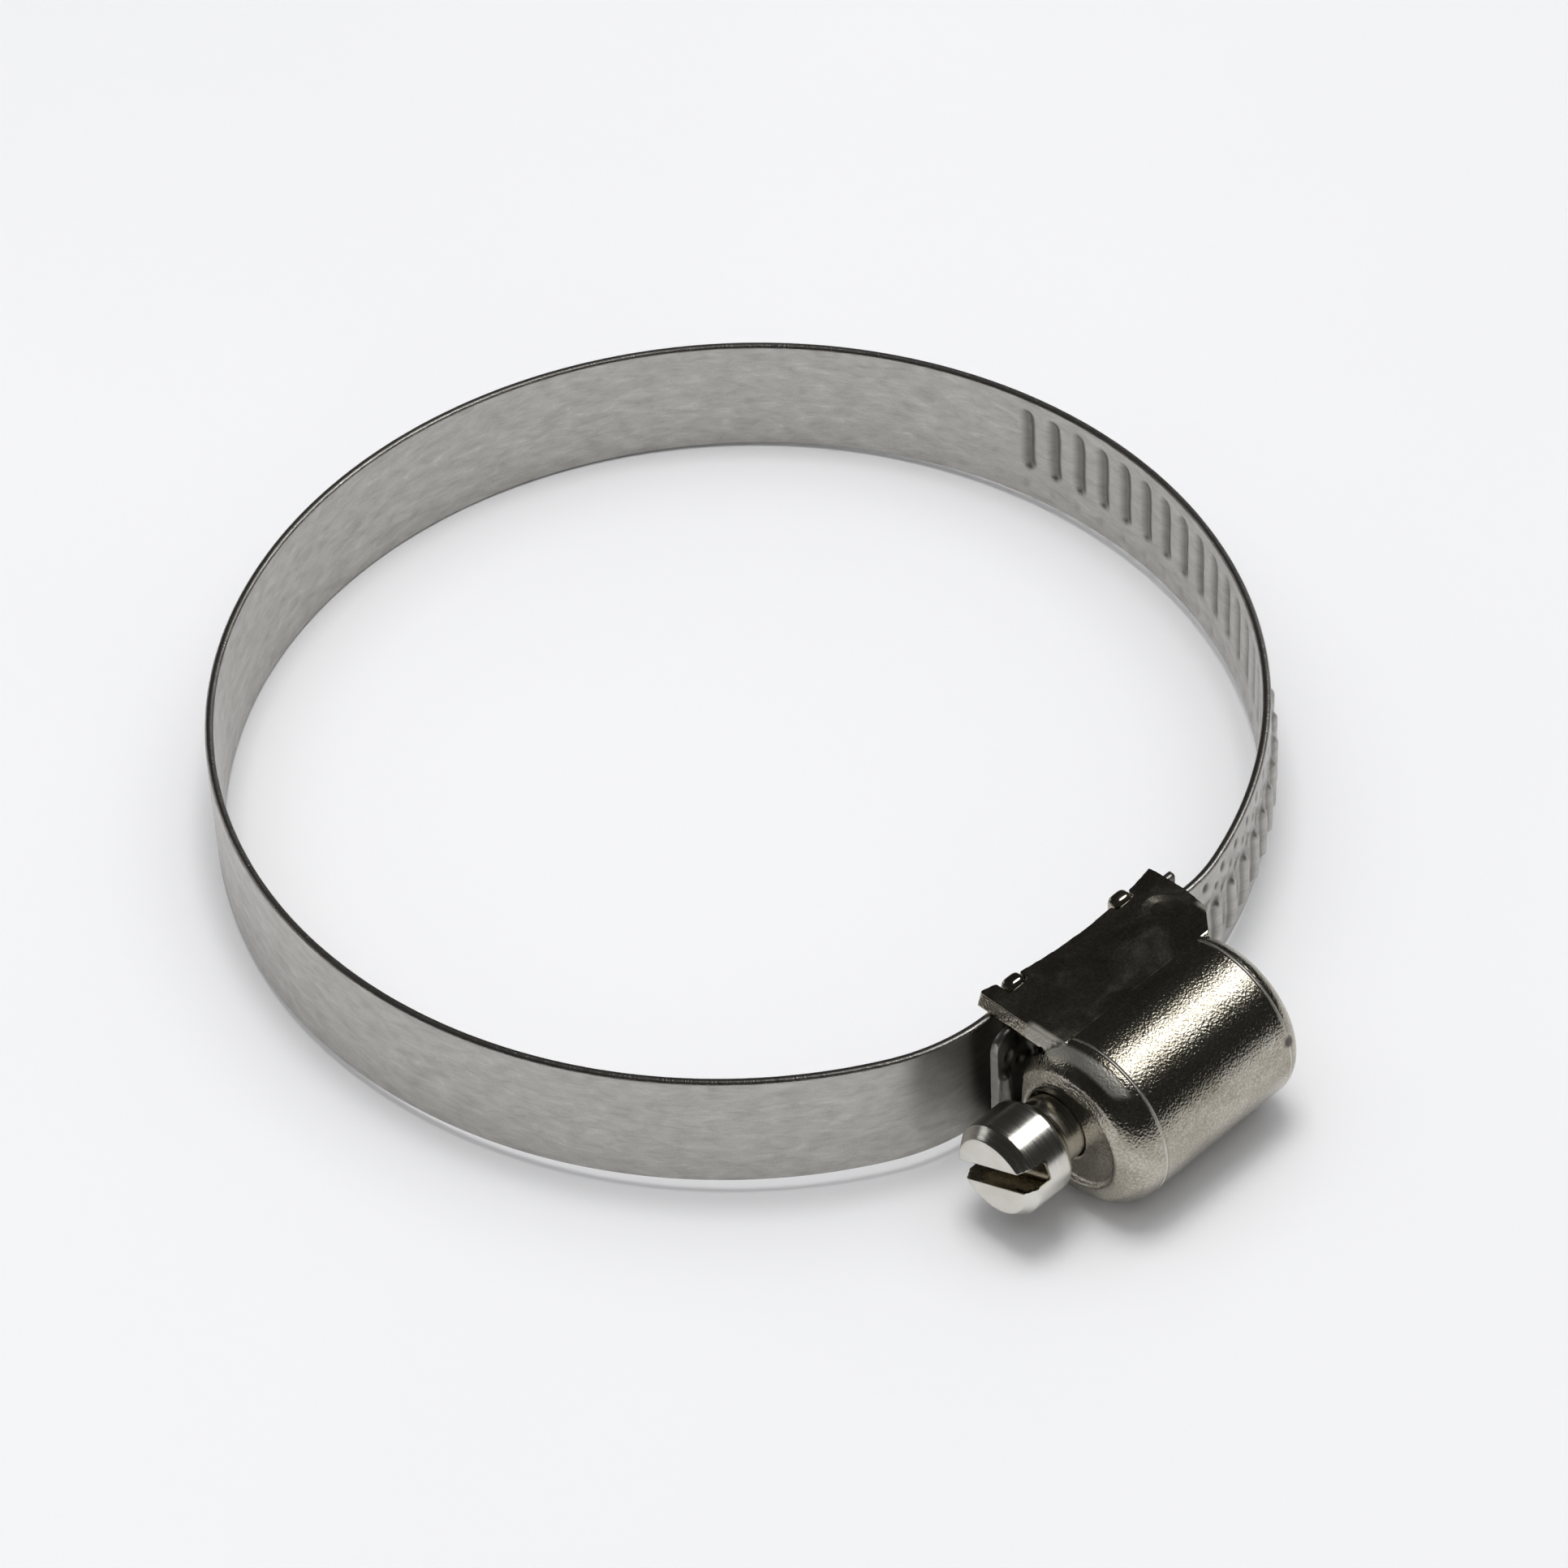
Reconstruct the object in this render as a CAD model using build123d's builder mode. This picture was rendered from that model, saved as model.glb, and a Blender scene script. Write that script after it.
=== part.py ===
"""Worm-drive hose clamp: spring band with a pressed thread, one-piece housing, slotted screw.

The hose axis is Z through the origin. The screw lies along X with its head on the +X side,
and the housing sits on the +Y side of the loop.
"""
import math
import os

from build123d import *

os.makedirs("parts", exist_ok=True)

# ---- band strip ----
band_width = 9.0
band_thickness = 0.6
band_edge_chamfer = 0.17
loop_radius = 34.25            # inner radius of the open loop
fixed_drop = 2.6               # fixed end's inner face, inside the loop's circle
thread_drop = 0.95             # threaded end's inner face, inside the loop's circle
fixed_end_x = -7.0
free_tip_x = 11.2
fixed_bend = 14.5              # bend where the fixed end leaves the housing
thread_bend = 12.0             # bend where the threaded end enters the housing

# ---- pressed thread ----
pitch = 2.2
tooth_count = 33
first_tooth = 0.7              # from the free tip
ridge_length = 6.2
ridge_height = 0.5
ridge_base = 1.15
ridge_top = 0.6
groove_length = 5.6
groove_width = 0.8
groove_depth = 0.45
sink = 0.15                    # ridge feet reach this far into the strip

# ---- screw ----
worm_radius = 4.55
thread_depth = 0.75
crest_width = 0.5
root_width = 1.05
mesh_clearance = 0.1           # between the worm's crest and the strip
neck_radius = 2.3
tail_radius = 1.6
head_radius = 3.3
head_face_radius = 2.72
head_front_x = 16.75
head_back_x = 12.5
head_chamfer_length = 0.85
slot_width = 1.05
slot_depth = 1.9
slot_turn = -66.0
worm_back_x = -3.0
running_gap = 0.06             # radial, neck and tail in their holes
axial_gap = 0.25

# ---- housing ----
plate = 0.9
side_gap = 0.12                # strip edge to wall
barrel_radius = 5.9
barrel_rise = 5.6              # barrel axis, outside the loop's circle
front_seam_x = 8.5
front_face_x = 11.1
front_rim_radius = 3.75
rear_seam_x = -3.0
rear_end_x = -4.9
rear_flat_radius = 2.6
rim_depth = 0.3
wall_front_x = 9.5
wall_rear_x = -5.6
wall_front_foot_drop = 3.4     # the walls' hose-side corners, inside the loop's circle
wall_rear_foot_drop = 2.95
mouth_top_rise = 1.35          # top of the strips' channel, outside the loop's circle
arch_x = 2.0
arch_drop = 2.3
front_bevel = 0.4              # the cut front edge leans forward by this much inside
floor_thickness = 0.8
floor_gap = 0.1                # fixed strip to floor
floor_inset = 0.6              # floor edge behind the wall edges

# ---- ears of the fixed end, held in notches of the walls ----
ear_width = 1.6
ear_places = (-2.3, 7.5)
ear_stand_out = 0.35
notch_gap = 0.05

# ---- derived ----
half = band_thickness / 2
path_radius = loop_radius + half
loop_shift = fixed_drop / 2    # the hose circle touches the loop's far side and the fixed end
fixed_level = loop_radius - fixed_drop
thread_level = loop_radius - thread_drop
barrel_level = loop_radius + barrel_rise
fixed_mid = fixed_level + half
thread_mid = thread_level + half
strip_top = thread_level + band_thickness
screw_level = strip_top + mesh_clearance + worm_radius
root_radius = worm_radius - thread_depth
wall_inner_z = band_width / 2 + side_gap
wall_outer_z = wall_inner_z + plate
ear_tip_z = wall_outer_z + ear_stand_out
cavity_radius = barrel_radius - plate
plate_front_x = front_face_x - rim_depth
plate_back_x = plate_front_x - plate
worm_front_x = plate_back_x - axial_gap

# the worm's thread crosses the strip midway between two ridges
lowest_x = free_tip_x - first_tooth - 1.5 * pitch
start_x = lowest_x - 0.25 * pitch
start_x = start_x - pitch * math.floor((start_x - worm_back_x - root_width / 2) / pitch)
turns = math.floor(4 * (worm_front_x - root_width / 2 - start_x) / pitch) / 4


def bend_point(level, bend):
    """Centre x of a bend, and the angle from +Y at which it meets the loop's arc."""
    x = math.sqrt((path_radius - bend) ** 2 - (level - bend) ** 2)
    angle = math.atan2(x, level - bend)
    return x, angle


fixed_x, fixed_angle = bend_point(fixed_mid, fixed_bend)
thread_x, thread_angle = bend_point(thread_mid, thread_bend)
straight_run = free_tip_x + thread_x
bend_run = straight_run + thread_bend * thread_angle


def station(run):
    """Plane on the strip's mid-line at a distance from the free tip: x outward, y along Z."""
    if run <= straight_run:
        point = (free_tip_x - run, thread_mid)
        turn = 0.0
    elif run <= bend_run:
        turn = (run - straight_run) / thread_bend
        point = (
            -thread_x - thread_bend * math.sin(turn),
            thread_mid - thread_bend + thread_bend * math.cos(turn),
        )
    else:
        turn = thread_angle + (run - bend_run) / path_radius
        point = (-path_radius * math.sin(turn), path_radius * math.cos(turn))
    outward = (-math.sin(turn), math.cos(turn), 0)
    along = (-math.cos(turn), -math.sin(turn), 0)
    return Plane(
        origin=(point[0], point[1] + loop_shift, 0),
        x_dir=along,
        z_dir=outward,
    )


teeth = [station(first_tooth + i * pitch) for i in range(tooth_count)]
slant = math.degrees(math.atan(pitch / (2 * math.pi * worm_radius)))
ridge_taper = math.degrees(math.atan((ridge_base - ridge_top) / 2 / (sink + ridge_height)))

# ---------------------------------------------------------------- band
with BuildPart() as band:
    with BuildLine() as strip_path:
        Line((fixed_end_x, fixed_mid + loop_shift), (fixed_x, fixed_mid + loop_shift))
        CenterArc(
            (fixed_x, fixed_mid - fixed_bend + loop_shift),
            fixed_bend,
            90,
            -math.degrees(fixed_angle),
        )
        CenterArc(
            (0, loop_shift),
            path_radius,
            90 - math.degrees(fixed_angle),
            math.degrees(fixed_angle) + math.degrees(thread_angle) - 360,
        )
        CenterArc(
            (-thread_x, thread_mid - thread_bend + loop_shift),
            thread_bend,
            90 + math.degrees(thread_angle),
            -math.degrees(thread_angle),
        )
        Line((-thread_x, thread_mid + loop_shift), (free_tip_x, thread_mid + loop_shift))
    with BuildSketch(Plane(origin=strip_path.line @ 0, x_dir=(0, 1, 0), z_dir=(1, 0, 0))) as section:
        Rectangle(band_thickness, band_width)
        chamfer(section.vertices(), length=band_edge_chamfer)
    sweep(path=strip_path.line)
    # ridges on the outer face
    with BuildSketch(*[tooth.offset(half - sink) for tooth in teeth]) as ridges:
        Rectangle(ridge_length, ridge_base, rotation=90 - slant)
        chamfer(ridges.vertices(), length=0.35 * ridge_base)
    extrude(amount=sink + ridge_height, taper=ridge_taper)
    # grooves on the inner face
    with BuildSketch(*[tooth.offset(-half - 0.2) for tooth in teeth]) as grooves:
        Rectangle(groove_length, groove_width, rotation=90 - slant)
        chamfer(grooves.vertices(), length=0.35 * groove_width)
    extrude(amount=0.2 + groove_depth, mode=Mode.SUBTRACT)
    # ears on both edges of the fixed end
    with BuildSketch(Plane.XY.offset(-ear_tip_z)):
        with Locations(*[(x, fixed_mid + loop_shift) for x in ear_places]):
            Rectangle(ear_width, band_thickness)
    extrude(amount=2 * ear_tip_z)
band.part.label = "band"
export_step(band.part, "parts/band.step")

# ---------------------------------------------------------------- screw
screw_y = screw_level + loop_shift
axis_plane = Plane(origin=(0, screw_y, 0), x_dir=(1, 0, 0), z_dir=(0, 0, 1))

with BuildPart() as screw:
    with BuildSketch(axis_plane):
        with BuildLine():
            Polyline(
                (rear_end_x - 0.1, 0),
                (rear_end_x - 0.1, tail_radius - 0.3),
                (rear_end_x + 0.2, tail_radius),
                (worm_back_x, tail_radius),
                (worm_back_x, root_radius - 0.4),
                (worm_back_x + 0.4, root_radius),
                (worm_front_x - 0.4, root_radius),
                (worm_front_x, root_radius - 0.4),
                (worm_front_x, neck_radius),
                (head_back_x - 0.35, neck_radius),
                (head_back_x, neck_radius + 0.25),
                (head_back_x + 0.45, head_radius),
                (head_front_x - head_chamfer_length, head_radius),
                (head_front_x, head_face_radius),
                (head_front_x, 0),
                close=True,
            )
        make_face()
    revolve(axis=Axis((0, screw_y, 0), (1, 0, 0)), revolution_arc=360)
    with BuildLine() as helix_line:
        Helix(
            pitch=pitch,
            height=turns * pitch,
            radius=root_radius,
            center=(start_x, screw_y, 0),
            direction=(1, 0, 0),
        )
    helix_start = helix_line.line @ 0
    start_radial = (helix_start - Vector(start_x, screw_y, 0)).normalized()
    with BuildSketch(Plane(origin=helix_start, x_dir=start_radial, z_dir=helix_line.line % 0)):
        with BuildLine():
            Polyline(
                (-0.12, -root_width / 2),
                (thread_depth, -crest_width / 2),
                (thread_depth, crest_width / 2),
                (-0.12, root_width / 2),
                close=True,
            )
        make_face()
    sweep(path=helix_line.line, is_frenet=True)
    with BuildSketch(Plane(origin=(head_front_x, screw_y, 0), x_dir=(0, 1, 0), z_dir=(1, 0, 0))):
        Rectangle(slot_width, 3 * head_radius, rotation=slot_turn)
    extrude(amount=-slot_depth, mode=Mode.SUBTRACT)
screw.part.label = "screw"
export_step(screw.part, "parts/screw.step")

# ---------------------------------------------------------------- housing
barrel_y = barrel_level + loop_shift
barrel_plane = Plane(origin=(0, barrel_y, 0), x_dir=(1, 0, 0), z_dir=(0, 0, 1))
barrel_axis = Axis((0, barrel_y, 0), (1, 0, 0))
front_foot_y = loop_radius - wall_front_foot_drop + loop_shift
rear_foot_y = loop_radius - wall_rear_foot_drop + loop_shift
mouth_top_y = loop_radius + mouth_top_rise + loop_shift
arch_y = loop_radius - arch_drop + loop_shift
floor_y = fixed_level + band_thickness + floor_gap + loop_shift
notch_top_y = fixed_level + band_thickness + notch_gap + loop_shift
wall_middle_x = (wall_front_x + wall_rear_x) / 2
well_length = plate_back_x - rear_seam_x


def rolled_edge(seam_x, end_x, end_radius, steps=3):
    """Points (x, radius) of the rounding from a seam of the barrel to its end face."""
    points = []
    for i in range(steps + 1):
        turn = math.pi / 2 * i / steps
        x = seam_x + (end_x - seam_x) * math.sin(turn)
        points.append((x, end_radius + (barrel_radius - end_radius) * math.cos(turn)))
    return points


with BuildPart() as housing:
    # side walls, full width, with the arched edge towards the hose
    with BuildSketch(Plane.XY.offset(-wall_outer_z)):
        with BuildLine():
            walls = Polyline(
                (wall_rear_x, rear_foot_y),
                (wall_rear_x - 0.15, rear_foot_y + 2.9),
                (wall_rear_x + 0.1, rear_foot_y + 4.9),
                (rear_seam_x - 0.5, barrel_y - 1.5),
                (rear_seam_x, barrel_y),
                (front_seam_x, barrel_y),
                (front_seam_x + 0.2, barrel_y - 1.6),
                (wall_front_x, front_foot_y + 6.1),
                (wall_front_x, front_foot_y),
            )
            ThreePointArc(walls @ 1, (arch_x, arch_y), walls @ 0)
        make_face()
    extrude(amount=2 * wall_outer_z)
    # the cut front edges lean forward towards the strip
    with BuildSketch(Plane.XZ.offset(-front_foot_y)):
        for side in (-1, 1):
            with BuildLine():
                Polyline(
                    (wall_front_x - 0.2, side * wall_outer_z),
                    (wall_front_x - 0.2, side * wall_inner_z),
                    (wall_front_x + front_bevel, side * wall_inner_z),
                    (wall_front_x, side * wall_outer_z),
                    close=True,
                )
            make_face()
    extrude(amount=-6.1)
    # barrel with a rolled front ring and a domed rear end
    with BuildSketch(barrel_plane):
        with BuildLine():
            Polyline(
                *rolled_edge(front_seam_x, front_face_x, front_rim_radius),
                (plate_front_x, front_rim_radius - 0.25),
                (plate_front_x, 0),
                (rear_end_x, 0),
                *reversed(rolled_edge(rear_seam_x, rear_end_x, rear_flat_radius)),
                close=True,
            )
        make_face()
    revolve(axis=barrel_axis, revolution_arc=360)
    # cavity of the barrel
    with BuildSketch(barrel_plane):
        with BuildLine():
            Polyline(
                (rear_seam_x, cavity_radius),
                (front_seam_x, cavity_radius),
                (plate_back_x, front_rim_radius - 0.1),
                (plate_back_x, 0),
                (rear_end_x + plate, 0),
                (rear_end_x + plate, rear_flat_radius - 0.3),
                close=True,
            )
        make_face()
    revolve(axis=barrel_axis, revolution_arc=360, mode=Mode.SUBTRACT)
    # the worm's well, between the walls, open to the strips
    with BuildSketch(Plane.XY.offset(-wall_inner_z)):
        with Locations(((plate_back_x + rear_seam_x) / 2, (front_foot_y + barrel_y) / 2)):
            Rectangle(well_length, barrel_y - front_foot_y)
    extrude(amount=2 * wall_inner_z, mode=Mode.SUBTRACT)
    # the channel for both strips, open at each end
    with BuildSketch(Plane.XY.offset(-wall_inner_z)):
        with Locations((wall_middle_x, mouth_top_y - 5)):
            Rectangle(40, 10)
    extrude(amount=2 * wall_inner_z, mode=Mode.SUBTRACT)
    # the floor that carries the threaded end, over the fixed end
    with BuildSketch(Plane.XY.offset(-wall_inner_z)):
        with Locations((wall_middle_x, floor_y + floor_thickness / 2)):
            Rectangle(wall_front_x - wall_rear_x - 2 * floor_inset, floor_thickness)
    extrude(amount=2 * wall_inner_z)
    # notches for the fixed end's ears
    with BuildSketch(Plane.XY.offset(-wall_outer_z)):
        with Locations(*[(x, notch_top_y - 1.5) for x in ear_places]):
            Rectangle(ear_width + 2 * notch_gap, 3)
    extrude(amount=2 * wall_outer_z, mode=Mode.SUBTRACT)
    # bearing holes for the neck and the tail
    with BuildSketch(Plane(origin=(front_face_x + 1, screw_y, 0), x_dir=(0, 1, 0), z_dir=(1, 0, 0))):
        Circle(neck_radius + running_gap)
    extrude(amount=-4, mode=Mode.SUBTRACT)
    with BuildSketch(Plane(origin=(rear_end_x - 1, screw_y, 0), x_dir=(0, 1, 0), z_dir=(1, 0, 0))):
        Circle(tail_radius + running_gap)
    extrude(amount=4, mode=Mode.SUBTRACT)
housing.part.label = "housing"
export_step(housing.part, "parts/housing.step")
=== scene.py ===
import math

import bmesh
import bpy
from mathutils import Matrix, Vector

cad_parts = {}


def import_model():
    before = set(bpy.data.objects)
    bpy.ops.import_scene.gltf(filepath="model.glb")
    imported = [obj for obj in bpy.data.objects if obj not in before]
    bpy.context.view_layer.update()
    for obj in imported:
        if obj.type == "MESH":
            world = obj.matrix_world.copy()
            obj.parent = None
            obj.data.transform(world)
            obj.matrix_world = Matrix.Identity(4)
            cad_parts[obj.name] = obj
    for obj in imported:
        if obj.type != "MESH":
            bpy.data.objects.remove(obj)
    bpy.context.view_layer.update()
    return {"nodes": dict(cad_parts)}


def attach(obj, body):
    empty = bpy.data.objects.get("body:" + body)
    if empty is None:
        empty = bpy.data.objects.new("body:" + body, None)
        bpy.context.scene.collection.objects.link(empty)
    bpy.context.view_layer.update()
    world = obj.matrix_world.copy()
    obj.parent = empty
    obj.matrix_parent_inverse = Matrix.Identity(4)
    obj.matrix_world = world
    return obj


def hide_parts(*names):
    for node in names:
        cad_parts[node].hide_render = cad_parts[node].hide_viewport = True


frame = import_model()
MM = 0.001

# ---------------------------------------------------------------- sizes as in the solids (mm)
LOOP_R = 34.25
STRIP = 0.6
HALF_W = 4.5
# the loop's centre lies this far towards the housing; levels are measured from it
SHIFT = 1.3
FIXED_LEVEL, THREAD_LEVEL = 31.65, 33.3
FIXED_END, FREE_TIP = -7.0, 11.2
FIXED_BEND, THREAD_BEND = 14.5, 12.0
PITCH, TEETH, FIRST = 2.2, 33, 0.7
EAR_PLACES = (-2.3, 7.5)
WORM_R = 4.55
BARREL_R = 5.9
WALL_Z = 5.52
BARREL_Y = 39.85 + SHIFT
SCREW_Y = 38.55 + SHIFT
REAR, REAR_SEAM, SEAM, FACE = -4.9, -3.0, 8.5, 11.1
REAR_R, FACE_R = 2.6, 3.75
HEAD_R, NECK_R = 3.3, 2.3
# direction across the driving slot, in the frame's Y and Z
SLOT_COS, SLOT_SIN = math.cos(math.radians(-66)), math.sin(math.radians(-66))

# ---------------------------------------------------------------- the strip's path
PATH_R = LOOP_R + STRIP / 2
FIXED_MID = FIXED_LEVEL + STRIP / 2
THREAD_MID = THREAD_LEVEL + STRIP / 2


def bend(level, r):
    """Where a bend between a straight and the loop starts, and its angle."""
    x = math.sqrt((PATH_R - r) ** 2 - (level - r) ** 2)
    return x, math.atan2(x, level - r)


FIXED_X, FIXED_ANGLE = bend(FIXED_MID, FIXED_BEND)
THREAD_X, THREAD_ANGLE = bend(THREAD_MID, THREAD_BEND)

# lengths along the strip, from the free tip
RUN_STRAIGHT = FREE_TIP + THREAD_X
RUN_BEND = RUN_STRAIGHT + THREAD_BEND * THREAD_ANGLE
RUN_LOOP = RUN_BEND + PATH_R * (2 * math.pi - THREAD_ANGLE - FIXED_ANGLE)
RUN_FIXED = RUN_LOOP + FIXED_BEND * FIXED_ANGLE
RUN_END = RUN_FIXED + FIXED_X - FIXED_END


def on_path(s):
    """Point of the strip's mid-line and its outward direction, at a length from the free tip."""
    if s <= RUN_STRAIGHT:
        return Vector((FREE_TIP - s, THREAD_MID + SHIFT, 0)), Vector((0, 1, 0))
    if s <= RUN_BEND:
        a = (s - RUN_STRAIGHT) / THREAD_BEND
        n = Vector((-math.sin(a), math.cos(a), 0))
        c = Vector((-THREAD_X, THREAD_MID - THREAD_BEND + SHIFT, 0))
        return c + n * THREAD_BEND, n
    if s <= RUN_LOOP:
        a = THREAD_ANGLE + (s - RUN_BEND) / PATH_R
        n = Vector((-math.sin(a), math.cos(a), 0))
        return Vector((0, SHIFT, 0)) + n * PATH_R, n
    if s <= RUN_FIXED:
        a = FIXED_ANGLE - (s - RUN_LOOP) / FIXED_BEND
        n = Vector((math.sin(a), math.cos(a), 0))
        c = Vector((FIXED_X, FIXED_MID - FIXED_BEND + SHIFT, 0))
        return c + n * FIXED_BEND, n
    return Vector((FIXED_X - (s - RUN_FIXED), FIXED_MID + SHIFT, 0)), Vector((0, 1, 0))


# ---------------------------------------------------------------- the pressed thread
SLANT = math.atan(PITCH / (2 * math.pi * WORM_R))
# pits beside each mark: place along the strip, place across it, radius
PITS = ((0.25, 2.35, 0.52), (1.15, 3.3, 0.52), (1.2, 1.35, 0.42))
# the turning worm's radius with a little room, its axis over the strip, and its two ends
SWEEP_R = 4.62
SWEEP_OVER = 4.65
SWEEP_BACK, SWEEP_FRONT = -3.3, 10.0


def smooth(t):
    t = min(1.0, max(0.0, t))
    return t * t * (3 - 2 * t)


def nearest_tooth(s, shift=0.0):
    """Distance along the strip from the nearest thread mark."""
    i = min(TEETH - 1, max(0, round((s - FIRST - shift) / PITCH)))
    return s - FIRST - shift - i * PITCH


def capsule(s, z, length, width, sway):
    """How far a point lies inside the nearest slanted, slightly swayed mark."""
    ds = nearest_tooth(s) + sway * math.sin(math.pi * z / 3.1)
    along = ds * math.sin(SLANT) + z * math.cos(SLANT)
    across = ds * math.cos(SLANT) - z * math.sin(SLANT)
    over = max(0.0, abs(along) - (length - width) / 2)
    return width / 2 - math.hypot(across, over)


def ridge(s, z):
    """Height of the outer face: ridges that swell below the middle, and pits above them."""
    swell = 0.05 + 0.45 * smooth((1.75 - z) / 0.8)
    pits = 0.0
    for shift, place, size in PITS:
        far = math.hypot(nearest_tooth(s, shift), (z - place) * 0.8)
        pits += 0.36 * size * smooth(1 - far / size)
    return swell * smooth(capsule(s, z, length=6.3, width=1.35, sway=0.20) / 0.60) - pits


def room(x, z):
    """Height left over the strip under the turning worm, growing freely beyond its ends."""
    beyond = max(0.0, SWEEP_BACK - x, x - SWEEP_FRONT)
    return SWEEP_OVER - math.sqrt(SWEEP_R ** 2 - z * z) + 2 * beyond


def groove(s, z):
    """Depth of the inner face's hollows, and of the shallow marks below them."""
    hollow = smooth(capsule(s, z - 0.8, length=5.7, width=1.5, sway=0.10) / 0.70)
    mark = math.hypot(nearest_tooth(s, 0.2), (z + 3.3) * 0.6)
    return 0.30 * hollow + 0.07 * smooth(1 - mark / 0.5)


# ---------------------------------------------------------------- the strip
EDGE = 0.24
TIP_R = 1.2
FACE_STEPS, EDGE_STEPS = 46, 4
THREAD_STEP, PLAIN_STEP = 0.15, 0.55
UV_SCALE = 0.01


def strip_section():
    """Points (height, z, side) round the section; side is 1 outside, -1 inside, 0 on an edge."""
    flat = HALF_W - EDGE
    core = STRIP / 2 - EDGE
    section = []
    for side in (1, -1):
        for i in range(FACE_STEPS + 1):
            z = -flat + 2 * flat * i / FACE_STEPS
            section.append((side * STRIP / 2, side * z, side))
        for i in range(1, 2 * EDGE_STEPS):
            a = math.pi / 2 * i / EDGE_STEPS
            middle = core if i <= EDGE_STEPS else -core
            h, z = middle + EDGE * math.cos(a), flat + EDGE * math.sin(a)
            section.append((side * h, side * z, 0))
    return section


def strip_stations():
    """Lengths along the strip at which its section is set, closer on the thread."""
    stations = []
    s = 0.0
    while s < RUN_END:
        stations.append(s)
        s += THREAD_STEP if s < FIRST + TEETH * PITCH else PLAIN_STEP
    return stations + [RUN_END]


def strip_mesh():
    section, stations = strip_section(), strip_stations()
    m = len(section)
    verts, faces, run, relief = [], [], [], []
    for s in stations:
        p, n = on_path(s)
        # the free tip's corners are rounded
        narrow = 1.0
        if s < TIP_R:
            narrow = 1.0 - (TIP_R - math.sqrt(TIP_R ** 2 - (TIP_R - s) ** 2)) / HALF_W
        for h, z, side in section:
            up = ridge(s, z) if side == 1 else 0.0
            if side == 1 and s < RUN_STRAIGHT:
                up = min(up, room(p.x, z))
            down = groove(s, z) if side == -1 else 0.0
            q = p + n * (h + up + down)
            verts.append((q.x * MM, q.y * MM, z * narrow * MM))
            run.append((s * UV_SCALE, z * UV_SCALE))
            relief.append((down, up))
    for i in range(len(stations) - 1):
        for j in range(m):
            a, b = i * m + j, i * m + (j + 1) % m
            faces.append((a, a + m, b + m, b))
    faces.append(tuple(range(m)))
    faces.append(tuple(reversed(range((len(stations) - 1) * m, len(stations) * m))))
    mesh = bpy.data.meshes.new("band_strip")
    mesh.from_pydata(verts, [], faces)
    # "run" is the place along and across the strip, "press" the depth and height of the thread
    for name, places in (("run", run), ("press", relief)):
        layer = mesh.uv_layers.new(name=name)
        for loop in mesh.loops:
            layer.data[loop.index].uv = places[loop.vertex_index]
    bm = bmesh.new()
    bm.from_mesh(mesh)
    bmesh.ops.recalc_face_normals(bm, faces=bm.faces)
    bm.to_mesh(mesh)
    bm.free()
    for poly in mesh.polygons:
        poly.use_smooth = len(poly.vertices) == 4
    return mesh


def place(name, data):
    """A new object in the scene."""
    o = bpy.data.objects.new(name, data)
    bpy.context.scene.collection.objects.link(o)
    return o


strip = place("band_strip", strip_mesh())
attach(strip, "clamp")
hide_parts("band")

# ---------------------------------------------------------------- the ears
EAR_HALF = (0.80, 0.55, 0.75)
EAR_Z, EAR_LIFT = 5.1, 0.15
# below 1, the ball is drawn out towards a box
EAR_POWER = 0.62


def ears():
    """Rounded tips of the fixed end's ears, staked into the walls' notches."""
    bm = bmesh.new()
    for x in EAR_PLACES:
        for side in (-1, 1):
            centre = Vector((x, FIXED_LEVEL + EAR_LIFT + SHIFT, side * EAR_Z)) * MM
            made = bmesh.ops.create_uvsphere(bm, u_segments=24, v_segments=16, radius=MM)
            for v in made["verts"]:
                box = [math.copysign(abs(c / MM) ** EAR_POWER, c) for c in v.co]
                v.co = Vector([c * half for c, half in zip(box, EAR_HALF)]) * MM + centre
    mesh = bpy.data.meshes.new("band_ears")
    bm.to_mesh(mesh)
    bm.free()
    mesh.shade_smooth()
    o = place("band_ears", mesh)
    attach(o, "clamp")
    return o


ear_piece = ears()

# ---------------------------------------------------------------- housing and screw, edges rounded
# the scene's slot is a little wider than the solid's
SLOT_FLOOR_X = 14.9
SLOT_HALF, SLOT_PUSH, SLOT_FADE = 0.52, 0.16, 1.2


def spread_slot(co):
    """Move a point of the screw's head across the slot, away from its middle."""
    across = (co.y / MM - SCREW_Y) * SLOT_COS + co.z / MM * SLOT_SIN
    reach = abs(across)
    if reach < SLOT_HALF:
        share = reach / SLOT_HALF
    else:
        share = max(0.0, 1 - (reach - SLOT_HALF) / SLOT_FADE)
    push = math.copysign(SLOT_PUSH * share, across)
    co.y += push * SLOT_COS * MM
    co.z += push * SLOT_SIN * MM


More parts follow.
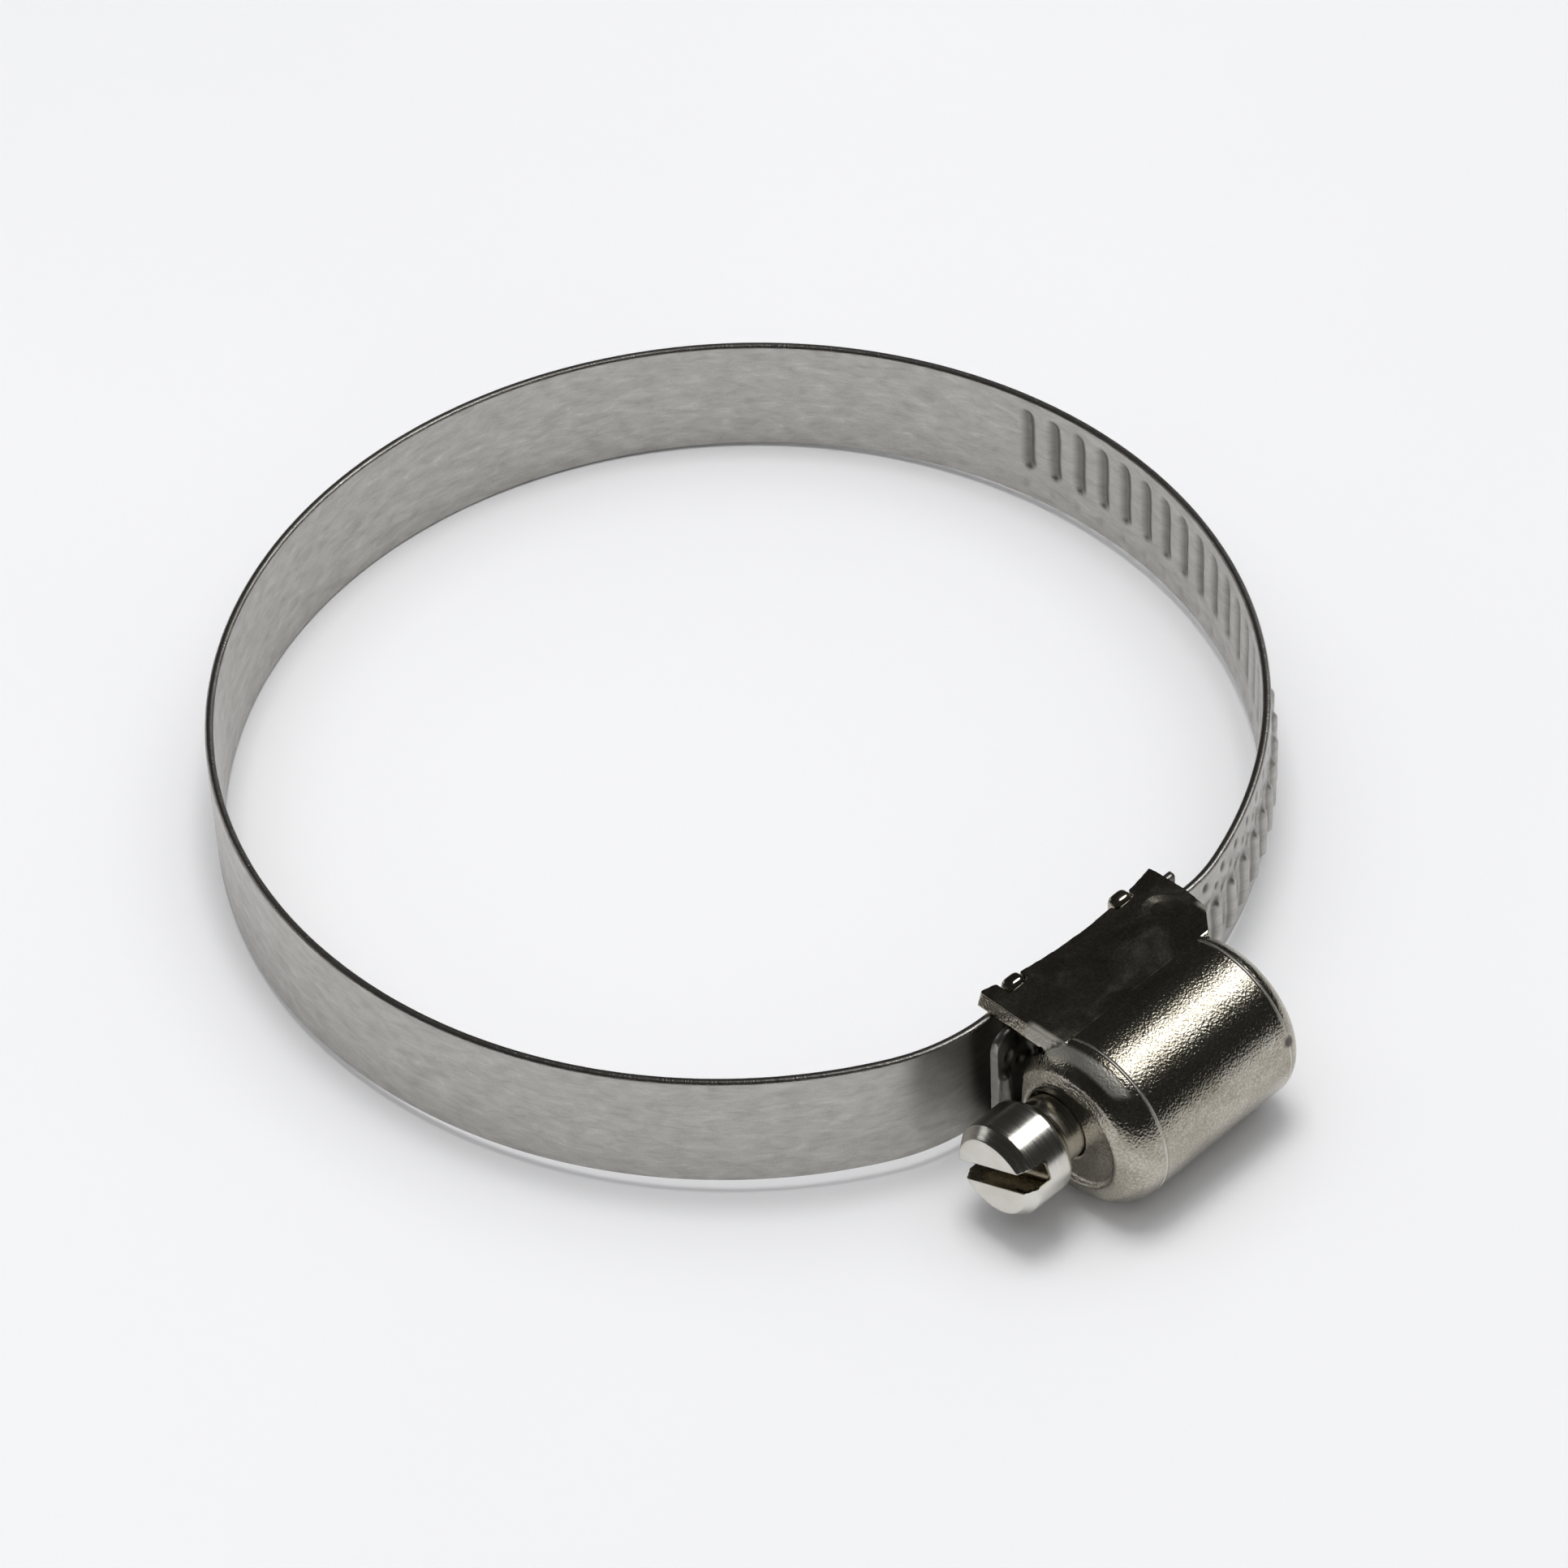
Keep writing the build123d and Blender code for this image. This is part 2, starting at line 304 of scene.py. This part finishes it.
def rounded_copy(node, name, voxel, rounds, profile, axis_y, near=0.07, wall=None):
    """A finer copy of a CAD node with softened edges, true to its turned and flat surfaces."""
    mesh = frame["nodes"][node].data.copy()
    bm = bmesh.new()
    bm.from_mesh(mesh)
    bmesh.ops.remove_doubles(bm, verts=bm.verts, dist=1e-7)
    bm.to_mesh(mesh)
    bm.free()
    o = place(name, mesh)
    mod = o.modifiers.new("remesh", "REMESH")
    mod.mode = "VOXEL"
    mod.voxel_size = voxel * MM
    bpy.context.view_layer.update()
    graph = bpy.context.evaluated_depsgraph_get()
    fine = bpy.data.meshes.new_from_object(o.evaluated_get(graph))
    o.modifiers.clear()
    o.data = fine
    bm = bmesh.new()
    bm.from_mesh(fine)
    for _ in range(rounds):
        bmesh.ops.smooth_vert(
            bm, verts=bm.verts, factor=0.5, use_axis_x=True, use_axis_y=True, use_axis_z=True
        )
    for v in bm.verts:
        if node == "screw" and v.co.x > SLOT_FLOOR_X * MM:
            spread_slot(v.co)
        y, z = v.co.y / MM - axis_y, v.co.z / MM
        r = math.hypot(y, z)
        if wall and abs(abs(z) - wall) < near and y < -2.0:
            v.co.z = math.copysign(wall, z) * MM
            continue
        target = profile(v.co.x / MM)
        if target and abs(r - target) < near:
            v.co.y = (axis_y + y * target / r) * MM
            v.co.z = z * target / r * MM
    bm.to_mesh(fine)
    bm.free()
    fine.materials.clear()
    fine.shade_smooth()
    fine.name = name
    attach(o, "screw" if node == "screw" else "clamp")
    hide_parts(node)
    return o


def rolled(x, seam, end, end_radius):
    """Radius on the quarter ellipse between a seam of the barrel and its end face."""
    t = (x - seam) / (end - seam)
    return end_radius + (BARREL_R - end_radius) * math.sqrt(max(0.0, 1 - t * t))


def barrel_profile(x):
    """Radius of the barrel's outside, or None near its two flat ends."""
    if x < REAR + 0.12 or x > FACE - 0.12:
        return None
    if x < REAR_SEAM:
        return rolled(x, REAR_SEAM, REAR, REAR_R)
    if x <= SEAM:
        return BARREL_R
    return rolled(x, SEAM, FACE, FACE_R)


def head_profile(x):
    """Radius of the screw's head, its chamfer and its neck, or None between them."""
    if 13.1 < x < 15.85:
        return HEAD_R
    if 15.98 < x < 16.65:
        return HEAD_R - 0.58 * (x - 15.9) / 0.85
    if 10.4 < x < 12.0:
        return NECK_R
    return None


shell = rounded_copy(
    "housing", "housing_shell", 0.125, 3, barrel_profile, BARREL_Y, near=0.13, wall=WALL_Z
)
screw_body = rounded_copy("screw", "screw_turned", 0.1, 1, head_profile, SCREW_Y)


# ---------------------------------------------------------------- materials (metres)
class Nodes:
    """Short names for building one node material."""

    def __init__(self, name):
        self.mat = bpy.data.materials.new(name)
        self.mat.use_nodes = True
        self.tree = self.mat.node_tree
        self.tree.nodes.clear()
        out = self.add("OutputMaterial")
        self.bsdf = self.add("BsdfPrincipled")
        self.link(self.bsdf.outputs[0], out.inputs["Surface"])

    def link(self, a, b):
        self.tree.links.new(a, b)

    def add(self, kind, **props):
        node = self.tree.nodes.new("ShaderNode" + kind)
        for key, value in props.items():
            setattr(node, key, value)
        return node

    def fill(self, node, **values):
        """Set or link inputs by name, with _ for a space."""
        for key, value in values.items():
            socket = node.inputs[key.replace("_", " ")]
            if isinstance(value, bpy.types.NodeSocket):
                self.link(value, socket)
            else:
                socket.default_value = value
        return node

    def split(self, vector):
        node = self.add("SeparateXYZ")
        self.link(vector, node.inputs[0])
        return tuple(node.outputs)

    def join(self, x, y):
        node = self.add("CombineXYZ")
        self.link(x, node.inputs[0])
        self.link(y, node.inputs[1])
        return node.outputs[0]

    def noise(
        self, vector, stretch, detail, rough, distortion=0.0, shift=(0, 0, 0), turn=(0, 0, 0)
    ):
        placed = self.fill(
            self.add("Mapping"), Vector=vector, Scale=stretch, Location=shift, Rotation=turn
        )
        node = self.fill(
            self.add("TexNoise"), Vector=placed.outputs[0], Scale=1.0,
            Detail=detail, Roughness=rough, Distortion=distortion,
        )
        return node.outputs[0]

    def ramp(self, value, lo, hi, out_lo, out_hi):
        node = self.fill(
            self.add("MapRange"), Value=value,
            From_Min=lo, From_Max=hi, To_Min=out_lo, To_Max=out_hi,
        )
        return node.outputs["Result"]

    def math(self, op, *values):
        node = self.add("Math", operation=op)
        for socket, value in zip(node.inputs, values):
            if isinstance(value, (int, float)):
                socket.default_value = value
            else:
                self.link(value, socket)
        return node.outputs[0]

    def times(self, a, b):
        return self.math("MULTIPLY", a, b)

    def plus(self, first, *others):
        for other in others:
            first = self.math("ADD", first, other)
        return first

    def colour(self, factor, stops):
        node = self.add("ValToRGB")
        ramp = node.color_ramp
        while len(ramp.elements) > 1:
            ramp.elements.remove(ramp.elements[-1])
        ramp.elements[0].position = stops[0][0]
        ramp.elements[0].color = (*stops[0][1], 1)
        for pos, col in stops[1:]:
            ramp.elements.new(pos).color = (*col, 1)
        self.link(factor, node.inputs["Fac"])
        return node.outputs["Color"]

    def blend(self, factor, first, second):
        """A linked colour, turning to a fixed one as the factor grows."""
        node = self.add("Mix", data_type="RGBA")
        self.link(factor, node.inputs["Factor"])
        self.link(first, node.inputs[6])
        node.inputs[7].default_value = (*second, 1)
        return node.outputs[2]

    def bump(self, height, strength, distance, normal=None):
        node = self.fill(self.add("Bump"), Height=height, Strength=strength, Distance=distance)
        if normal is not None:
            self.link(normal, node.inputs["Normal"])
        return node.outputs["Normal"]

    def set(self, **values):
        self.fill(self.bsdf, **values)


def strip_steel():
    k = Nodes("strip_steel_satin")
    uv = k.add("UVMap", uv_map="run").outputs[0]
    across = k.split(uv)[1]
    grain = k.noise(uv, (70, 2200, 1), 6.0, 0.62)
    fine = k.noise(uv, (500, 4200, 1), 3.0, 0.6)
    blotch = k.noise(uv, (55, 130, 1), 5.0, 0.62, 0.5)
    speck = k.noise(uv, (900, 1300, 1), 2.0, 0.5)
    scuff = k.noise(uv, (45, 1700, 1), 3.0, 0.55, 0.2, turn=(0, 0, 0.18))
    marks = k.ramp(scuff, 0.66, 0.73, 0.0, 1.0)
    edge = k.ramp(k.math("ABSOLUTE", across), 0.0418, 0.0436, 0.0, 1.0)
    tone = k.plus(
        k.times(grain, 0.35), k.times(blotch, 0.45), k.times(speck, 0.2), k.times(marks, 0.10)
    )
    # painted shade: the pressed thread's hollows, its pits and the feet of its ridges are darkened
    # in colour, where the relief would be shaded
    depth, height, _ = k.split(k.add("UVMap", uv_map="press").outputs[0])
    hollow = k.ramp(depth, 0.0, 0.28, 0.0, 0.66)
    foot = k.times(k.ramp(height, 0.01, 0.10, 0.0, 1.0), k.ramp(height, 0.16, 0.40, 1.0, 0.0))
    pit = k.ramp(height, -0.02, -0.12, 0.0, 0.8)
    thread_shade = k.math("MAXIMUM", k.math("MAXIMUM", hollow, k.times(foot, 0.5)), pit)
    clean = k.colour(tone, [
        (0.32, (0.30, 0.288, 0.265)),
        (0.5, (0.425, 0.412, 0.386)),
        (0.68, (0.545, 0.535, 0.512)),
    ])
    rough = k.plus(k.ramp(tone, 0.35, 0.65, 0.40, 0.25), k.times(marks, 0.08))
    n = k.bump(grain, 0.45, 0.00002)
    n = k.bump(fine, 0.35, 0.000012, n)
    n = k.bump(k.times(speck, k.ramp(edge, 0, 1, 0.25, 1.0)), 0.6, 0.00005, n)
    # the colour turns near black under the painted thread shade
    k.set(
        Base_Color=k.blend(thread_shade, clean, (0.06, 0.058, 0.052)),
        Metallic=1.0, Roughness=rough, Normal=n,
    )
    return k.mat


def housing_steel():
    k = Nodes("housing_steel_polished")
    obj = k.add("TexCoord").outputs["Object"]
    x, y, z = k.split(obj)
    half = k.math("ABSOLUTE", z)
    # the walls are flat and smooth, the barrel curved and grainy
    flat = k.times(k.ramp(half, 0.00545, 0.0055, 0.0, 1.0), k.ramp(y, 0.0390, 0.0393, 1.0, 0.0))
    curved = k.math("SUBTRACT", 1.0, flat)
    pebble = k.noise(obj, (6400, 6400, 6400), 1.5, 0.5)
    dents = k.noise(obj, (1100, 1500, 1500), 3.0, 0.6, 0.5)
    broad = k.noise(obj, (260, 420, 420), 4.0, 0.55, 0.6)
    cloud = k.noise(obj, (230, 330, 330), 5.0, 0.62, 0.8, shift=(0.3, 0.1, 0.2))
    scratch = k.noise(obj, (500, 4200, 60), 3.0, 0.6, 0.3, turn=(0.2, 0.3, 0.9))
    marks = k.ramp(scratch, 0.70, 0.80, 0.0, 1.0)
    smudge = k.ramp(cloud, 0.44, 0.70, 0.0, 0.19)
    # rolled seams of the front ring and the rear dome: a real bump, and a lighter colour along
    # them that is a painted highlight
    ring = k.math("ABSOLUTE", k.math("SUBTRACT", x, SEAM * MM))
    dome = k.math("ABSOLUTE", k.math("SUBTRACT", x, REAR_SEAM * MM))
    seam = k.math("MINIMUM", ring, dome)
    seam_bead_highlight = k.times(k.ramp(seam, 0.00004, 0.00014, 1.0, 0.0), curved)
    # painted highlights where the walls end: the lips get a light colour standing in for light
    # caught on them, and a rougher surface
    rear = k.times(k.ramp(x, -0.0050, -0.0053, 0.0, 1.0), k.ramp(y, 0.0366, 0.0372, 0.0, 1.0))
    fore = k.times(k.ramp(x, 0.0090, 0.0093, 0.0, 1.0), k.ramp(y, 0.0360, 0.0366, 0.0, 1.0))
    lip_highlight = k.times(k.math("MAXIMUM", rear, fore), k.ramp(half, 0.0046, 0.0049, 0.0, 1.0))
    lip_highlight = k.times(lip_highlight, k.ramp(x, 0.0100, 0.0102, 1.0, 0.0))
    # painted shade: a small near-black spot in the rear seam, standing for the shade in a notch
    notch = k.add("VectorMath", operation="DISTANCE")
    k.link(obj, notch.inputs[0])
    notch.inputs[1].default_value = (-0.0030, 0.0468, 0.00175)
    dark = k.ramp(notch.outputs["Value"], 0.00025, 0.00050, 0.85, 0.0)
    # a shallow stamped hollow on each wall, near the rear
    reach = k.add("VectorMath", operation="LENGTH")
    k.link(k.join(k.plus(x, 0.0034), k.math("SUBTRACT", y, 0.0358)), reach.inputs[0])
    hollow = k.ramp(reach.outputs["Value"], 0.0008, 0.0014, 0.0, 1.0)

    mottle = k.plus(k.times(broad, 0.45), k.times(pebble, 0.55))
    colour = k.colour(mottle, [
        (0.32, (0.26, 0.234, 0.182)),
        (0.5, (0.40, 0.372, 0.31)),
        (0.68, (0.59, 0.562, 0.50)),
    ])
    # painted highlight: the colour turns light along the seams
    colour = k.blend(k.times(seam_bead_highlight, 0.5), colour, (0.88, 0.86, 0.80))
    # painted highlight on the walls' lips
    colour = k.blend(lip_highlight, colour, (0.80, 0.77, 0.70))
    # painted shade of the rear seam's notch
    colour = k.blend(dark, colour, (0.05, 0.045, 0.04))
    rough = k.plus(
        k.ramp(broad, 0.3, 0.7, 0.13, 0.08), k.times(curved, 0.09), k.times(flat, smudge),
        k.times(seam_bead_highlight, 0.25), k.times(lip_highlight, 0.35), k.times(marks, 0.2),
    )
    grain = k.plus(k.times(pebble, 1.3), k.times(dents, 0.18))
    n = k.bump(k.times(broad, k.ramp(curved, 0, 1, 0.3, 1.0)), 0.08, 0.00006)
    n = k.bump(k.times(grain, curved), 0.9, 0.00003, n)
    n = k.bump(k.times(marks, flat), 0.3, 0.00001, n)
    n = k.bump(k.times(hollow, flat), 0.7, 0.00012, n)
    n = k.bump(seam_bead_highlight, 1.0, 0.00009, n)
    k.set(Base_Color=colour, Metallic=1.0, Roughness=rough, Normal=n)
    return k.mat


def screw_steel():
    k = Nodes("screw_steel_turned")
    obj = k.add("TexCoord").outputs["Object"]
    x, y, z = k.split(obj)
    off = k.math("SUBTRACT", y, SCREW_Y * MM)
    radius = k.math("SQRT", k.plus(k.times(off, off), k.times(z, z)))
    # turning marks run round the axis
    turned = k.noise(k.join(radius, x), (5200, 4200, 1), 4.0, 0.6)
    broad = k.noise(obj, (500, 500, 500), 4.0, 0.6, 0.5)
    clean = k.colour(broad, [(0.3, (0.62, 0.595, 0.535)), (0.7, (0.73, 0.71, 0.665))])
    # painted shade on the driving slot's walls: the colour turns dark brown inside the slot
    across = k.math("ABSOLUTE", k.plus(k.times(off, SLOT_COS), k.times(z, SLOT_SIN)))
    inside = k.times(
        k.ramp(across, 0.00071, 0.00075, 1.0, 0.0), k.ramp(x, 0.0147, 0.0148, 0.0, 1.0)
    )
    n = k.bump(turned, 0.4, 0.00001)
    n = k.bump(broad, 0.25, 0.00002, n)
    # the dark brown inside the slot is painted shade
    k.set(
        Base_Color=k.blend(inside, clean, (0.27, 0.24, 0.175)),
        Metallic=1.0, Roughness=k.ramp(turned, 0.3, 0.7, 0.30, 0.16), Normal=n,
    )
    return k.mat


housing_material = housing_steel()
strip.data.materials.append(strip_steel())
ear_piece.data.materials.append(housing_material)
shell.data.materials.append(housing_material)
screw_body.data.materials.append(screw_steel())

# ---------------------------------------------------------------- floor
# the floor touches the barrel and the loop's far side, and so leans a little
FLOOR_HALF = 0.9
TILT = math.atan((BARREL_R - HALF_W) / 75.0)


def floor():
    a = FLOOR_HALF
    mesh = bpy.data.meshes.new("floor")
    mesh.from_pydata([(-a, -a, 0), (a, -a, 0), (a, a, 0), (-a, a, 0)], [], [(0, 1, 2, 3)])
    o = place("floor", mesh)
    low = Matrix.Translation((0, 0.041, -BARREL_R * MM))
    o.matrix_world = low @ Matrix.Rotation(-TILT, 4, "X")
    k = Nodes("floor_white")
    cloud = k.noise(k.add("TexCoord").outputs["Object"], (9, 9, 9), 3.0, 0.5)
    k.set(
        Base_Color=k.colour(cloud, [(0.3, (0.86, 0.86, 0.87)), (0.7, (0.89, 0.89, 0.90))]),
        Roughness=0.6, Specular_IOR_Level=0.2,
    )
    mesh.materials.append(k.mat)


floor()

# ---------------------------------------------------------------- camera
IMAGE_PX, SENSOR = 1932.0, 36.0
FOCAL_PX = 8333.0
DISTANCE = 13 * LOOP_R
ELEVATION, ROLL, AROUND = math.radians(44.34), math.radians(3.07), math.radians(43.0)
# small turns that set the loop off the picture's centre
OFF_X, OFF_Y = 0.0062, -0.0067


def to_frame(v):
    """A vector in the camera's ground frame (right, back, up), turned to the part's frame."""
    a = Vector((math.cos(AROUND), math.sin(AROUND), 0))
    u = Vector((math.sin(AROUND), -math.cos(AROUND), 0))
    return Vector((-v.dot(a), v.dot(u), v.z))


def turned(a, b, angle):
    """Two axes turned in their own plane."""
    c, s = math.cos(angle), math.sin(angle)
    return c * a - s * b, s * a + c * b


def camera():
    spot = Vector((0, -math.cos(ELEVATION) * DISTANCE, math.sin(ELEVATION) * DISTANCE))
    right = Vector((1, 0, 0))
    ahead = (-spot).normalized()
    up = right.cross(ahead)
    up, ahead = turned(up, ahead, OFF_Y)
    right, ahead = turned(right, ahead, OFF_X)
    right, up = turned(right, up, ROLL)
    data = bpy.data.cameras.new("camera")
    data.sensor_width = SENSOR
    data.sensor_fit = "HORIZONTAL"
    data.lens = SENSOR * FOCAL_PX / IMAGE_PX
    data.clip_start = 0.01
    o = place("camera", data)
    axes = [to_frame(v) for v in (right, up, -ahead)]
    turn = Matrix(axes).transposed().to_4x4()
    o.matrix_world = Matrix.Translation((to_frame(spot) + Vector((0, SHIFT, 0))) * MM) @ turn
    bpy.context.scene.camera = o


camera()


# ---------------------------------------------------------------- lights (metres)
def at(right, back, up):
    """A place by the camera's ground directions."""
    return to_frame(Vector((right, back, up)))


def area(name, spot, aim, size, power):
    light = bpy.data.lights.new(name, "AREA")
    light.shape = "RECTANGLE"
    light.size, light.size_y = size
    light.energy = power
    o = place(name, light)
    o.location = spot
    o.rotation_euler = (aim - spot).to_track_quat("-Z", "Y").to_euler()
    return o


# two panels that show in the metal only
for name, spot, size, power in (
    ("key_softbox", at(0.45, 0.23, 0.80), (0.43, 0.40), 2.5),
    ("left_panel", at(-0.80, 0.46, 0.36), (0.5, 0.3), 0.40),
):
    area(name, spot, at(0, 0, 0), size, power).visible_diffuse = False
# two ceilings that light the floor and stay out of the metal's reflections
for name, spot, size, power in (
    ("ceiling_wide", at(0, 0, 0.85), 1.3, 4.8),
    ("ceiling_near", at(0.0, 0.02, 0.85), 0.34, 3.2),
):
    area(name, spot, at(0.0, 0.0001, 0), (size, size), power).visible_glossy = False


def world():
    """Soft even light, a dark room for the metal's reflections, and white for the camera."""
    w = bpy.data.worlds.new("world")
    bpy.context.scene.world = w
    w.use_nodes = True
    nodes, link = w.node_tree.nodes, w.node_tree.links.new

    def background(node, colour, strength):
        node.inputs[0].default_value = (*colour, 1)
        node.inputs[1].default_value = strength
        return node.outputs[0]

    def choose(ray, otherwise, then):
        mix = nodes.new("ShaderNodeMixShader")
        link(ray, mix.inputs[0])
        link(otherwise, mix.inputs[1])
        link(then, mix.inputs[2])
        return mix.outputs[0]

    path = nodes.new("ShaderNodeLightPath")
    soft = background(nodes["Background"], (0.97, 0.98, 1.0), 0.27)
    dark = background(nodes.new("ShaderNodeBackground"), (1.0, 0.98, 0.94), 0.03)
    white = background(nodes.new("ShaderNodeBackground"), (0.93, 0.93, 0.94), 1.0)
    lit = choose(path.outputs["Is Glossy Ray"], soft, dark)
    seen = choose(path.outputs["Is Camera Ray"], lit, white)
    link(seen, nodes["World Output"].inputs[0])


world()
bpy.context.scene.view_settings.view_transform = "Standard"
